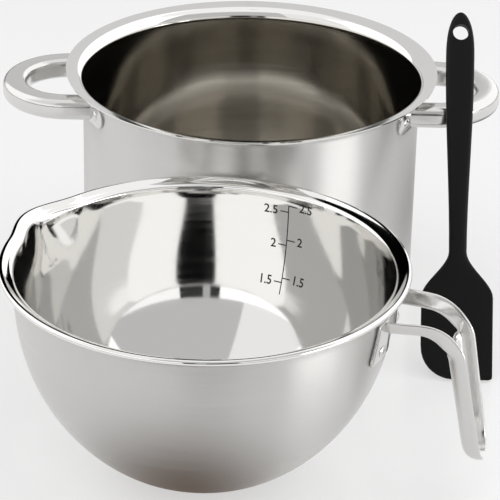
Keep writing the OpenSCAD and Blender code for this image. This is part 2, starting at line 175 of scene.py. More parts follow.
class Finishes(PropertyGroup):
    satin: colour("Satin steel", "Brushed stainless steel outside", "cdccca")
    mirror: colour("Mirror steel", "Polished stainless steel inside and on the rims", "e6e5e3")
    # The pot's inside is the polished steel in a darker colour: painted shade of the deep pot
    inside: colour("Shaded inside steel", "Polished stainless steel inside the pot", "c1beb8")
    buffed: colour("Buffed steel", "Hand-buffed stainless steel of the handles", "d3d2d0")
    aluminium: colour("Aluminium", "The disc in the base", "c4c6c9")
    silicone: colour("Silicone", "The spatula", "0b0b0b")
    ink: colour("Ink", "The volume marks", "1c1c1e")
    floor: colour("Floor", "The studio floor", "fafafa")


# Modelling helpers

def put_down():
    """Leaves edit mode and clears the selection."""
    if bpy.context.mode != "OBJECT":
        bpy.ops.object.mode_set(mode="OBJECT")
    bpy.ops.object.select_all(action="DESELECT")


def hold(piece):
    """Selects one piece alone and makes it active."""
    put_down()
    piece.select_set(True)
    bpy.context.view_layer.objects.active = piece


def name_it(name):
    """Names the piece that was just added."""
    piece = bpy.context.object
    piece.name = name
    piece.data.name = name
    return piece


def pick(piece, kind, test):
    """Enters edit mode with the vertices, edges or faces selected whose middle passes a test."""
    hold(piece)
    bpy.ops.object.mode_set(mode="EDIT")
    bpy.ops.mesh.select_mode(type=kind)
    bpy.ops.mesh.select_all(action="DESELECT")
    bpy.ops.object.mode_set(mode="OBJECT")
    mesh = piece.data
    if kind == "VERT":
        for vertex in mesh.vertices:
            vertex.select = test(vertex.co)
    elif kind == "EDGE":
        for edge in mesh.edges:
            a, b = (mesh.vertices[i].co for i in edge.vertices)
            edge.select = test((a + b) / 2)
    else:
        for face in mesh.polygons:
            face.select = test(face.center)
    bpy.ops.object.mode_set(mode="EDIT")


def line_of(name, points):
    """A line of edges, drawn by extruding one point along the others. Stays in edit mode."""
    put_down()
    points = [Vector(p) for p in points]
    bpy.ops.mesh.primitive_plane_add(size=0.001, location=(0, 0, 0))
    piece = name_it(name)
    bpy.ops.object.mode_set(mode="EDIT")
    bpy.ops.mesh.select_mode(type="VERT")
    bpy.ops.mesh.select_all(action="SELECT")
    bpy.ops.mesh.merge(type="CENTER")
    bpy.ops.transform.translate(value=points[0])
    for here, there in zip(points, points[1:]):
        bpy.ops.mesh.extrude_vertices_move(TRANSFORM_OT_translate={"value": there - here})
    return piece


def turned(name, outline, steps):
    """A piece turned round the Z axis from its outline of (radius, height) pairs."""
    piece = line_of(name, [(r, 0, z) for r, z in outline])
    bpy.ops.mesh.select_all(action="SELECT")
    bpy.ops.mesh.spin(steps=steps, angle=2 * pi, center=(0, 0, 0), axis=(0, 0, 1))
    bpy.ops.mesh.select_all(action="SELECT")
    bpy.ops.mesh.remove_doubles(threshold=1e-6)
    bpy.ops.mesh.normals_make_consistent(inside=False)
    bpy.ops.object.mode_set(mode="OBJECT")
    return piece


def modify(piece, kind, **settings):
    """Adds a modifier with its settings and applies it."""
    hold(piece)
    modifier = piece.modifiers.new(kind.title(), kind)
    for key, value in settings.items():
        setattr(modifier, key, value)
    bpy.ops.object.modifier_apply(modifier=modifier.name)


def close_up(piece):
    """Merges doubles and points all faces outwards."""
    pick(piece, "FACE", lambda middle: True)
    bpy.ops.mesh.remove_doubles(threshold=1e-6)
    bpy.ops.mesh.normals_make_consistent(inside=False)
    bpy.ops.object.mode_set(mode="OBJECT")


def smooth(piece, sharp=40):
    """Shades a piece smooth but for edges sharper than an angle."""
    hold(piece)
    bpy.ops.object.shade_smooth_by_angle(angle=radians(sharp))


def press(piece, shape):
    """Moves each point of a blank to its pressed place."""
    for vertex in piece.data.vertices:
        vertex.co = shape(vertex.co)


def copied(piece, name, matrix):
    """A copy with its own mesh, moved by a matrix. A mirrored copy keeps its faces outwards."""
    twin = piece.copy()
    twin.data = piece.data.copy()
    twin.name = name
    twin.data.name = name
    bpy.context.collection.objects.link(twin)
    twin.data.transform(matrix)
    if matrix.determinant() < 0:
        twin.data.flip_normals()
    return twin


def join(pieces, name):
    """Joins pieces into one."""
    hold(pieces[0])
    for piece in pieces[1:]:
        piece.select_set(True)
    bpy.ops.object.join()
    return name_it(name)


def seat(piece, body, slot, *nodes):
    """Lets a finished piece ride on its body and stand for its CAD nodes."""
    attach(piece, body)
    if nodes:
        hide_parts(*nodes)


def blend(a, b, t):
    """A value between a at 0 and b at 1."""
    return a + (b - a) * t


def ramp(t):
    """A smooth step from 0 to 1."""
    t = min(max(t, 0), 1)
    return t * t * (3 - 2 * t)


def arc(centre, radius, start, stop, steps):
    """Points on an arc, in (radius, height) pairs, from one angle to another."""
    angles = [radians(blend(start, stop, i / steps)) for i in range(steps + 1)]
    return [(centre[0] + radius * cos(a), centre[1] + radius * sin(a)) for a in angles]


# Materials

def add(tree, kind, values=None, **settings):
    """Adds a node with its settings; a socket takes a value or a link from another socket."""
    node = tree.nodes.new(kind)
    for key, value in settings.items():
        setattr(node, key, value)
    for socket, value in (values or {}).items():
        if isinstance(value, bpy.types.NodeSocket):
            tree.links.new(value, node.inputs[socket])
        else:
            node.inputs[socket].default_value = value
    return node


def material(name, colour_value, **values):
    """A new material and its Principled shader, with the shader's plain values set."""
    made = bpy.data.materials.new(name)
    made.use_nodes = True
    shader = made.node_tree.nodes["Principled BSDF"]
    shader.inputs["Base Color"].default_value = (*colour_value, 1)
    for key, value in values.items():
        shader.inputs[key.replace("_", " ")].default_value = value
    return made, made.node_tree, shader


def wear(piece, *materials):
    """Gives a piece its materials."""
    piece.data.materials.clear()
    for made in materials:
        piece.data.materials.append(made)


def turned_grain(tree, pitch, steps=2):
    """Streaks that run round the Z axis, pitch metres apart and about 70 mm long."""
    place = add(tree, "ShaderNodeTexCoord")
    scaled = add(tree, "ShaderNodeMapping", {"Vector": place.outputs["Object"],
                                             "Scale": (14, 14, 1 / pitch)})
    return add(tree, "ShaderNodeTexNoise", {"Vector": scaled.outputs[0], "Scale": 1.0,
                                            "Detail": steps, "Roughness": 0.6}).outputs["Fac"]


def blotches(tree, size, steps=2.0):
    """Even noise, with grains of about a size in metres."""
    place = add(tree, "ShaderNodeTexCoord")
    return add(tree, "ShaderNodeTexNoise", {"Vector": place.outputs["Object"], "Scale": 1 / size,
                                            "Detail": steps}).outputs["Fac"]


def uneven_gloss(tree, shader, pattern, low, high, span=(0.3, 0.7)):
    """Lets a pattern's values in a span carry the roughness from low to high."""
    rough = add(tree, "ShaderNodeMapRange", {"Value": pattern,
                                             "From Min": span[0], "From Max": span[1],
                                             "To Min": low, "To Max": high})
    tree.links.new(rough.outputs[0], shader.inputs["Roughness"])


def fine_relief(tree, shader, pattern, strength, depth):
    """Lets a pattern carry a shallow relief, depth metres deep."""
    bump = add(tree, "ShaderNodeBump", {"Height": pattern, "Strength": strength, "Distance": depth})
    tree.links.new(bump.outputs[0], shader.inputs["Normal"])


def satin_steel():
    """Brushed stainless steel."""
    # 18/10 stainless sheet, brushed round the vessel with a fine belt: fine level streaks that
    # spread every highlight into a soft upright band. The real pitch of about 0.1 mm is too
    # fine to show, so the streaks are drawn 0.9 mm apart.
    finish = bpy.context.scene.finishes
    made, tree, shader = material("Brushed stainless steel", finish.satin, Metallic=1.0,
                                  Anisotropic=0.85, Anisotropic_Rotation=0.25)
    grain = turned_grain(tree, 0.9 * MM)
    uneven_gloss(tree, shader, grain, 0.34, 0.42)
    fine_relief(tree, shader, grain, 0.06, 0.1 * MM)
    around = add(tree, "ShaderNodeTangent", direction_type="RADIAL", axis="Z")
    tree.links.new(around.outputs[0], shader.inputs["Tangent"])
    return made


def mirror_steel():
    """Mirror-polished stainless steel."""
    # The same sheet, buffed on a lathe: clear reflections with slightly soft edges and very
    # faint rings from the buffing wheel, drawn 2.5 mm apart.
    finish = bpy.context.scene.finishes
    made, tree, shader = material("Mirror-polished stainless steel", finish.mirror, Metallic=1.0)
    uneven_gloss(tree, shader, turned_grain(tree, 2.5 * MM, 1), 0.05, 0.09)
    return made


def shaded_inside_steel():
    """Polished stainless steel, with a darker colour that paints the shade inside the deep pot."""
    # The pot's inside: deep-drawn sheet with a polished face. Its colour is darker than the mirror
    # steel's, as painted shade of the deep pot: it mirrors clearly but greyly, so the pot looks
    # dark inside.
    finish = bpy.context.scene.finishes
    made, tree, shader = material("Polished stainless steel with painted shade", finish.inside, Metallic=1.0)
    uneven_gloss(tree, shader, turned_grain(tree, 3 * MM, 1), 0.08, 0.12)
    return made


def buffed_steel():
    """Hand-buffed stainless steel."""
    # Pressed stainless parts, buffed by hand: bright, with a soft blur and faint waves left
    # by the wheel, about 6 mm long.
    finish = bpy.context.scene.finishes
    made, tree, shader = material("Buffed stainless steel", finish.buffed, Metallic=1.0)
    uneven_gloss(tree, shader, blotches(tree, 6 * MM), 0.15, 0.22)
    return made


def plain_aluminium():
    """Mill-finish aluminium."""
    # Rolled aluminium plate, as cut: pale, dull and slightly blotched. It is closed in.
    finish = bpy.context.scene.finishes
    made, tree, shader = material("Mill-finish aluminium", finish.aluminium, Metallic=1.0)
    uneven_gloss(tree, shader, blotches(tree, 8 * MM), 0.38, 0.52, span=(0, 1))
    return made


def moulded_silicone():
    """Moulded silicone rubber."""
    # Black food-grade silicone from a fine-blasted mould: deep black with a soft sheen and a
    # faint grain of about 0.5 mm.
    finish = bpy.context.scene.finishes
    made, tree, shader = material("Moulded black silicone", finish.silicone, Roughness=0.5,
                                  IOR=1.41, Specular_IOR_Level=0.25)
    fine_relief(tree, shader, blotches(tree, 0.5 * MM, 1.0), 0.15, 0.05 * MM)
    return made


def printed_ink():
    """Fired black ink."""
    # Screen-printed food-safe ink: flat black with slightly uneven cover.
    finish = bpy.context.scene.finishes
    made, tree, shader = material("Printed black ink", finish.ink)
    uneven_gloss(tree, shader, blotches(tree, 0.4 * MM), 0.4, 0.6, span=(0, 1))
    return made


def white_floor():
    """Glossy white board."""
    # White acrylic board: it mirrors the set faintly. Part of what the camera and the steel
    # see is plain white, which lifts the shadows as a lit-through board does.
    finish = bpy.context.scene.finishes
    made, tree, shader = material("Glossy white board", finish.floor, Roughness=0.12)
    rays = add(tree, "ShaderNodeLightPath")
    part = 0
    for ray in ("Is Camera Ray", "Is Glossy Ray", "Is Transmission Ray"):
        share = add(tree, "ShaderNodeMath", {0: rays.outputs[ray], 1: 0.5, 2: part},
                    operation="MULTIPLY_ADD")
        part = share.outputs[0]
    white = add(tree, "ShaderNodeEmission", {"Color": (1, 1, 1, 1), "Strength": 1.0})
    mixed = add(tree, "ShaderNodeMixShader", {0: part, 1: shader.outputs[0],
                                              2: white.outputs[0]})
    tree.links.new(mixed.outputs[0], tree.nodes["Material Output"].inputs["Surface"])
    return made


MADE = {}


def once(make):
    """The material of a function, made the first time that it is asked for."""
    title = make.__name__
    if title not in MADE:
        MADE[title] = make()
    return MADE[title]


# Pot

def pot_side(pot, side):
    """The sheet's outline, pushed off its middle line by side times half the sheet."""
    half = side * pot.sheet / 2
    middle = pot.radius - pot.sheet / 2
    floor = pot.base_core + pot.base_cap + pot.sheet / 2
    curve = pot.corner + pot.sheet / 2
    turn = 90 - pot.flare_slope
    slope = radians(pot.flare_slope)
    rim = pot.radius + pot.flare_reach
    flare_end = middle + pot.flare_curve * (1 - cos(radians(turn)))
    flare_rise = (rim - flare_end) * tan(slope)
    flare = pot.height - pot.flare_curve * sin(radians(turn)) - flare_rise \
        - pot.sheet / 2 / cos(slope)
    lip_z = flare + pot.flare_curve * sin(radians(turn)) + flare_rise
    wall_low = floor + curve
    wall = [(middle + half, blend(wall_low, flare, i / 6)) for i in range(1, 6)]
    return ([(0, floor - half)]
            + arc((middle - curve, wall_low), curve + half, -90, 0, 16)
            + wall
            + arc((middle + pot.flare_curve, flare), pot.flare_curve - half, 180, 180 - turn, 14)
            + [(rim - half * sin(slope), lip_z - half * cos(slope))])


def finish_vessel(piece, height, rim, inside):
    """Gives a vessel a satin outside, a mirror rim from a height up, and a finish inside."""
    wear(piece, once(satin_steel), once(mirror_steel), once(inside))
    eye = Vector((0, 0, height * 0.6))
    for face in piece.data.polygons:
        if face.center.z > rim:
            face.material_index = 1
        else:
            face.material_index = 0 if face.normal.dot(face.center - eye) > 0 else 2


class BOILER_OT_pot(Operator):
    """Turns the pot's shell and the steel cap of its base"""
    bl_idname = "boiler.pot"
    bl_label = "Pot"

    def execute(self, context):
        pot = context.scene.pot
        outer = pot_side(pot, 1)
        inner = pot_side(pot, -1)
        shell = turned("pot_shell", outer + inner[::-1], 192)
        # The pot's inside wears the darker polished steel, whose colour is painted shade
        finish_vessel(shell, pot.height, pot.height - 6 * MM, shaded_inside_steel)
        smooth(shell)
        seat(shell, "pot", "pot_steel", "pot_body")

        r, cap = pot.base_radius, pot.base_cap
        top = pot.base_core + cap
        dish = turned("pot_base_dish", [(0, 0), (r - 2 * cap, 0)]
                      + arc((r - cap, cap), cap, -90, 0, 6)
                      + [(r, top), (r - cap, top), (r - cap, cap), (0, cap)], 128)
        wear(dish, once(satin_steel))
        smooth(dish)
        seat(dish, "pot", "pot_steel", "pot_base_cap")
        return {"FINISHED"}


def loop_middle(context):
    """Height of the pot handles' middle, and the distance of their half ring's centre."""
    pot, loop = context.scene.pot, context.scene.loop
    return pot.height - loop.drop, pot.radius + loop.reach - loop.width / 2 - loop.radius


class BOILER_OT_pot_handles(Operator):
    """Bends a polished tube into a loop and puts one on each side of the pot"""
    bl_idname = "boiler.pot_handles"
    bl_label = "Pot handles"

    def execute(self, context):
        pot, loop = context.scene.pot, context.scene.loop
        height, centre = loop_middle(context)
        put_down()
        bpy.ops.mesh.primitive_plane_add(
            size=1, location=(pot.radius - 12 * MM, -loop.radius, height), rotation=(0, pi / 2, 0))
        tube = name_it("pot_loop_right")
        bpy.ops.object.mode_set(mode="EDIT")
        bpy.ops.mesh.select_all(action="SELECT")
        bpy.ops.transform.resize(value=(1, loop.width, loop.height),
                                 center_override=(pot.radius, -loop.radius, height))
        bpy.ops.mesh.bevel(affect="VERTICES", offset=loop.corner, segments=8)
        bpy.ops.mesh.select_all(action="SELECT")
        bpy.ops.mesh.extrude_region_move(
            TRANSFORM_OT_translate={"value": (centre - pot.radius + 12 * MM, 0, 0)})
        bpy.ops.mesh.spin(steps=24, angle=-pi / 2, center=(centre, 0, height), axis=(0, 0, 1))
        put_down()
        hold(tube)
        bpy.ops.object.transform_apply(location=True, rotation=True, scale=True)
        # Half the loop is drawn: it is cut off at the bracket, opened at its far end and mirrored
        pick(tube, "FACE", lambda middle: middle.y > -0.01 * MM)
        bpy.ops.mesh.delete(type="FACE")
        bpy.ops.mesh.select_all(action="SELECT")
        turn = asin(loop.radius / pot.radius)
        out = Vector((cos(turn), -sin(turn), 0))
        bpy.ops.mesh.bisect(plane_co=out * (pot.radius + loop.plate * 0.67), plane_no=out,
                            use_fill=True, clear_inner=True)
        put_down()
        modify(tube, "MIRROR", use_axis=(False, True, False), merge_threshold=1e-5)
        close_up(tube)
        wear(tube, once(buffed_steel))
        smooth(tube, 30)
        twin = copied(tube, "pot_loop_left", Matrix.Diagonal((-1, 1, 1, 1)))
        seat(tube, "pot", "polished_steel", "pot_handle_right")
        seat(twin, "pot", "polished_steel", "pot_handle_left")
        return {"FINISHED"}


CORNERS = {"right_back": (1, 1), "right_front": (1, -1),
           "left_back": (-1, 1), "left_front": (-1, -1)}


class BOILER_OT_brackets(Operator):
    """Presses the four brackets to the pot's wall and sets a weld button on each"""
    bl_idname = "boiler.brackets"
    bl_label = "Brackets and buttons"

    def execute(self, context):
        pot, loop = context.scene.pot, context.scene.loop
        height, _ = loop_middle(context)
        leg_turn = asin(loop.radius / pot.radius)
        plate_turn = leg_turn + radians(loop.plate_turn)
        put_down()
        bpy.ops.mesh.primitive_plane_add(size=1, location=(0, 0, 0))
        plate = name_it("bracket_right_back_plate")
        bpy.ops.object.mode_set(mode="EDIT")
        bpy.ops.mesh.select_all(action="SELECT")
        bpy.ops.transform.resize(value=(loop.plate_length, loop.plate_height, 1),
                                 center_override=(0, 0, 0))
        bpy.ops.mesh.bevel(affect="VERTICES", offset=loop.plate_height / 2 * 0.999, segments=12)
        bpy.ops.mesh.select_all(action="SELECT")
        bpy.ops.mesh.extrude_region_move(TRANSFORM_OT_translate={"value": (0, 0, loop.plate)})
        for i in range(-6, 7):
            bpy.ops.mesh.select_all(action="SELECT")
            bpy.ops.mesh.bisect(plane_co=(i * loop.plate_length / 14, 0, 0), plane_no=(1, 0, 0))
        put_down()
        close_up(plate)
        modify(plate, "BEVEL", width=0.3 * MM, segments=2, limit_method="ANGLE")

        def onto_wall(co):
            turn = plate_turn + co.x / pot.radius
            reach = pot.radius + co.z
            return Vector((reach * cos(turn), reach * sin(turn), height + co.y))

        press(plate, onto_wall)
        close_up(plate)
        wear(plate, once(buffed_steel))
        smooth(plate, 30)

        r, h = loop.button, loop.button_height
        dome = (r * r + h * h) / (2 * h)
        edge = degrees(asin(r / dome))
        button = turned("button_right_back_dome", [(0, 0), (r, 0)]
                        + arc((0, h - dome), dome, 90 - edge, 90, 8)[1:], 32)
        turn = leg_turn + radians(loop.button_turn)
        reach = pot.radius + loop.plate
        button.data.transform(Matrix.Translation((reach * cos(turn), reach * sin(turn), height))
                              @ Matrix.Rotation(turn, 4, "Z") @ Matrix.Rotation(pi / 2, 4, "Y"))
        wear(button, once(buffed_steel))
        smooth(button)

        for corner, (x, y) in CORNERS.items():
            mirror = Matrix.Diagonal((x, y, 1, 1))
            one = plate if (x, y) == (1, 1) else copied(plate, f"bracket_{corner}_plate", mirror)
            two = button if (x, y) == (1, 1) else copied(button, f"button_{corner}_dome", mirror)
            seat(one, "pot", "polished_steel", f"bracket_{corner}")
            seat(two, "pot", "polished_steel", f"button_{corner}")
        return {"FINISHED"}


# Bowl

def bowl_centre(context):
    """Where the bowl stands, beside the pot."""
    pot, bowl = context.scene.pot, context.scene.bowl
    away = pot.radius + bowl.radius + bowl.gap
    return Vector((away * cos(radians(bowl.turn)), away * sin(radians(bowl.turn)), 0))


def bowl_numbers(bowl):
    """Radius at the wall's top, height of the wall, and the bead's centre."""
    bead_r = bowl.radius - bowl.bead
    bead_z = bowl.height - bowl.bead
    return bead_r - bowl.bead / 2 - bowl.lip_width, bead_z - bowl.lip_height, (bead_r, bead_z)


def bowl_radius(bowl, z):
    """The bowl's outside radius at a height, for pieces that seat on its wall."""
    wall_top, wall_h, _ = bowl_numbers(bowl)
    if z > wall_h:
        return wall_top + bowl.lip_width * ((z - wall_h) / bowl.lip_height) ** 1.6
    part = (1 - (1 - max(z, 0) / wall_h) ** bowl.steep) ** (1 / bowl.full)
    return blend(bowl.base_radius, wall_top, part)


def bowl_outline(bowl):
    """The sheet's outline: up the outside, over the bead and down the inside."""
    wall_top, wall_h, bead = bowl_numbers(bowl)
    turns = [radians(90 * (i / 44) ** 0.9) for i in range(45)]
    outside = [(blend(bowl.base_radius, wall_top, sin(t) ** (2 / bowl.full)),
                wall_h * (1 - cos(t) ** (2 / bowl.steep))) for t in turns]
    outside += [(wall_top + bowl.lip_width * (i / 8) ** 1.6, wall_h + bowl.lip_height * i / 8)
                for i in range(1, 7)]
    inside = []
    for i, (r, z) in enumerate(outside):
        before = outside[i - 1] if i else (0, 0)
        after = outside[min(i + 1, len(outside) - 1)]
        run = Vector((after[0] - before[0], after[1] - before[1])).normalized()
        inside.append((r - bowl.sheet * run.y, z + bowl.sheet * run.x))
    return ([(0, 0), (bowl.base_radius * 0.6, 0)] + outside
            + arc(bead, bowl.bead, 190, 380, 14) + arc(bead, bowl.bead, 38, 128, 7)
            + inside[::-1] + [(bowl.base_radius * 0.6, bowl.sheet), (0, bowl.sheet)])


class BOILER_OT_bowl(Operator):
    """Turns the bowl's shell and pulls its pouring spout"""
    bl_idname = "boiler.bowl"
    bl_label = "Bowl"

    def execute(self, context):
        bowl = context.scene.bowl
        centre = bowl_centre(context)
        shell = turned("bowl_shell", bowl_outline(bowl), 240)
        spout = Vector((cos(radians(bowl.spout_turn)), sin(radians(bowl.spout_turn)), 0))

        # Proportional editing falls off in a ball, so the spout is pulled point by point: it
        # fades round the rim by its half width, and down the wall by its depth.
        def pulled(co):
            flat = Vector((co.x, co.y, 0))
            if flat.length < bowl.base_radius:
                return co
            flat.normalize()
            away = degrees(acos(min(max(flat.dot(spout), -1), 1)))
            if away < bowl.spout_half:
                fade = cos(radians(90 * away / bowl.spout_half)) ** 2
                fade *= ramp(1 - (bowl.height - co.z) / bowl.spout_depth)
                return co + flat * bowl.spout_reach * fade
            return co

        press(shell, pulled)
        finish_vessel(shell, bowl.height, bowl_numbers(bowl)[1], mirror_steel)
        shell.data.transform(Matrix.Translation(centre))
        smooth(shell)
        seat(shell, "bowl", "bowl_steel", "bowl_body")
        return {"FINISHED"}


# The volume scale inside the bowl: its direction from the bowl's middle, the top and the bottom of
# its line in mm below the rim, and the depth of each mark with its figure. The figures right of
# the line are litres and the ones left of it quarts.
MARKS_TURN = 63.7
MARKS_LINE = (9.5, 61.7)
MARKS_RIGHT = ((9.7, "2.5"), (30.6, "2"), (52.7, "1.5"))
MARKS_LEFT = ((13.6, "2.5"), (33.8, "2"), (55.2, "1.5"))


class BOILER_OT_marks(Operator):
    """Prints the volume scale on the bowl's inside"""
    bl_idname = "boiler.marks"
    bl_label = "Volume marks"

    def execute(self, context):
        bowl = context.scene.bowl
        centre = bowl_centre(context)
        parts = []

        def bar(x0, x1, d0, d1):
            put_down()
            bpy.ops.mesh.primitive_cube_add(size=1, location=((x0 + x1) / 2 * MM,
                                                              -(d0 + d1) / 2 * MM, 0))
            piece = name_it("mark")
            piece.scale = ((x1 - x0) * MM, (d1 - d0) * MM, 0.06 * MM)
            bpy.ops.object.transform_apply(location=True, rotation=True, scale=True)
            parts.append(piece)

        def figure(text, x, depth, size, align):
            put_down()
            bpy.ops.object.text_add(location=(x * MM, -depth * MM, 0))
            piece = bpy.context.object
            piece.data.body = text
            piece.data.size = size * MM
            piece.data.align_x = align
            piece.data.align_y = "CENTER"
            piece.data.extrude = 0.03 * MM
            piece.data.offset = 0.1 * MM
            piece.data.resolution_u = 4
            bpy.ops.object.convert(target="MESH")
            bpy.ops.object.transform_apply(location=True, rotation=True, scale=True)
            parts.append(bpy.context.object)

        bar(-0.3, 0.3, *MARKS_LINE)
        for depth, text in MARKS_RIGHT:
            bar(-0.2, 5.4, depth - 0.3, depth + 0.3)
            figure(text, 6.8, depth, 7.2, "LEFT")
        for depth, text in MARKS_LEFT:
            bar(-5.2, 0.2, depth - 0.3, depth + 0.3)
            figure(text, -6.6, depth, 7.2, "RIGHT")
        scale = join(parts, "bowl_volume_marks")
        pick(scale, "FACE", lambda middle: True)
        bpy.ops.mesh.remove_doubles(threshold=1e-7)
        for i in range(1, 14):
            bpy.ops.mesh.select_all(action="SELECT")
            bpy.ops.mesh.bisect(plane_co=(0, -i * 4.5 * MM, 0), plane_no=(0, 1, 0))
        put_down()
        turn = radians(MARKS_TURN)

        def onto_wall(co):
            z = bowl.height + co.y
            step = 0.5 * MM
            slope = atan((bowl_radius(bowl, z + step) - bowl_radius(bowl, z - step)) / (2 * step))
            reach = bowl_radius(bowl, z) - (bowl.sheet + 0.06 * MM + co.z) / cos(slope)
            at = turn - co.x / (bowl.radius - 6 * MM)
            return centre + Vector((reach * cos(at), reach * sin(at), z))

        press(scale, onto_wall)
        close_up(scale)
        wear(scale, once(printed_ink))
        seat(scale, "bowl", "bowl_steel")
        return {"FINISHED"}


# Bowl handle

def strap_numbers(context):
    """Lengths along the strap and where its legs leave the bowl."""
    bowl, strap = context.scene.bowl, context.scene.strap
    leg_z = bowl.height - strap.leg_drop
    root = sqrt((bowl_radius(bowl, leg_z) + strap.tab_gap + strap.tab_sheet / 2) ** 2
                - strap.leg_spread ** 2)
    bend_length = strap.bend_radius * radians(strap.bend)
    return leg_z, root, bend_length, strap.leg_length + bend_length + strap.grip_length


def strap_middle(context, s):
    """Reach, height and direction of the strap's middle line, s along it from the bowl."""
    strap = context.scene.strap
    leg_z, root, bend_length, _ = strap_numbers(context)
    if s < strap.leg_length:
        return root + s, leg_z, 0
    turn = radians(strap.bend) * min((s - strap.leg_length) / bend_length, 1)
    reach = root + strap.leg_length + strap.bend_radius * sin(turn)
    height = leg_z - strap.bend_radius * (1 - cos(turn))
    rest = max(s - strap.leg_length - bend_length, 0)
    return reach + rest * cos(turn), height - rest * sin(turn), turn


# Half of the flat blank of the bowl's handle: the rows beside the window between the legs, the
# columns that make a leg, and all columns, from the free edge to the middle
LEG_ROWS = 12
LEG_COLUMNS = 3
COLUMNS = 7


def strap_stations(context):
    """Places of the blank's rows along the strap. They lie closer at the tip."""
    strap = context.scene.strap
    _, _, bend_length, total = strap_numbers(context)
    web = strap.leg_length + bend_length * 0.82
    straight = strap.leg_length + bend_length
    tip = strap.tip_length
    return ([web * i / LEG_ROWS for i in range(LEG_ROWS)]
            + [blend(web, straight, i / 2) for i in range(3)]
            + [blend(straight, total - tip, i / 7) for i in range(1, 8)]
            + [total - tip + tip * sin(radians(a)) for a in (22, 40, 55, 68)])


def leg_section(width, tilt, out, column):
    """A leaning strip, from its upper edge at column 0 to its lower one at column 3."""
    down = width * (0.5 - min(column, LEG_COLUMNS) / LEG_COLUMNS)
    return down * cos(tilt), out + down * sin(tilt)


def channel_section(strap, width, tilt, out, column):
    """A straight side to column 2, a round corner to column 5, then a flat bottom."""
    curve = strap.channel_round - strap.sheet / 2
    low = strap.channel_round - width / 2
    foot = out - width / 2 * sin(tilt)
    if column < 2:
        edge = out + width / 2 * sin(tilt)
        return blend(width / 2, low, column / 2), blend(edge, foot, column / 2)
    if column < 6:
        turn = (column - 2) / 3 * pi / 2
        return low - curve * sin(turn), foot - curve * (1 - cos(turn))
    return low - curve, (foot - curve) * (COLUMNS - column) / 2


def strap_section(context, s, column):
    """How far a column of the blank stands up from the strap's middle line and aside, at s."""
    strap = context.scene.strap
    _, _, bend_length, total = strap_numbers(context)
    bent = (s - strap.leg_length) / bend_length
    grip = ramp((bent - 0.6) / 0.35)
    width = blend(strap.leg_width, strap.grip_depth, grip)
    tilt = radians(blend(strap.leg_tilt, strap.grip_tilt, ramp(bent / 0.7)))
    out = blend(strap.leg_spread, strap.grip_spread,
                ramp(s / (strap.leg_length + bend_length * 0.8)))
    taper = max(s - strap.leg_length - bend_length, 0) / strap.grip_length
    out -= (strap.grip_spread - strap.tip_spread) * taper
    leg_up, leg_side = leg_section(width, tilt, out, column)
    grip_up, grip_side = channel_section(strap, width, tilt, out, column)
    up, side = blend(leg_up, grip_up, grip), blend(leg_side, grip_side, grip)
    # The tip closes like a spoon's: its sides and its bottom draw in along an ellipse
    closing = sqrt(1 - max((s - total) / strap.tip_length + 1, 0) ** 2)
    return blend(width / 2, up, closing), 0 if column == COLUMNS else side * closing


def pressed_strap(context):
    """The strap without its tabs: half of it is pressed from a flat blank and mirrored."""
    stations = strap_stations(context)
    rows = len(stations) - 1
    put_down()
    bpy.ops.mesh.primitive_grid_add(x_subdivisions=COLUMNS, y_subdivisions=rows, size=1)
    blank = name_it("bowl_strap")
    # The blank's window, between the legs, is cut out before it is pressed
    pick(blank, "FACE", lambda middle: middle.x > LEG_COLUMNS / COLUMNS - 0.5
         and middle.y < LEG_ROWS / rows - 0.5)
    bpy.ops.mesh.delete(type="FACE")
    put_down()

    def pressed(co):
        s = stations[round((co.y + 0.5) * rows)]
        up, side = strap_section(context, s, round((co.x + 0.5) * COLUMNS))
        reach, height, direction = strap_middle(context, s)
        return Vector((reach + up * sin(direction), side, height + up * cos(direction)))

    press(blank, pressed)
    modify(blank, "MIRROR", use_axis=(False, True, False), use_clip=True, merge_threshold=1e-5)
    modify(blank, "SOLIDIFY", thickness=context.scene.strap.sheet, offset=0)
    modify(blank, "SUBSURF", levels=2, render_levels=2)
    return blank


def tab_numbers(context):
    """Direction of a tab from the bowl's middle, and the heights of its two ends."""
    strap = context.scene.strap
    leg_z, root, _, _ = strap_numbers(context)
    turn = degrees(atan(strap.leg_spread / root)) + 1
    return turn, leg_z - strap.tab_length, leg_z + strap.leg_width / 2 - 0.4 * MM


def strap_tab(context):
    """The tab of one leg, curved to the bowl's wall."""
    bowl, strap = context.scene.bowl, context.scene.strap
    tab_turn, low, high = tab_numbers(context)
    rounding = 0.15
    put_down()
    bpy.ops.mesh.primitive_grid_add(x_subdivisions=6, y_subdivisions=8, size=1)
    tab = name_it("tab")

    def tab_place(co):
        t = co.y + 0.5
        z = blend(low, high, t)
        half = blend(strap.tab_low, strap.tab_high, t)
        half *= sqrt(1 - (max(rounding - t, 0) / rounding) ** 2 * 0.3)
        reach = bowl_radius(bowl, z) + strap.tab_gap
        turn = radians(tab_turn + co.x * 2 * half)
        return Vector((reach * cos(turn), reach * sin(turn), z))

    press(tab, tab_place)
    close_up(tab)
    if tab.data.polygons[0].normal.x < 0:
        tab.data.flip_normals()
    modify(tab, "SOLIDIFY", thickness=strap.tab_sheet, offset=1)
    modify(tab, "BEVEL", width=0.35 * MM, segments=2, limit_method="ANGLE")
    return tab


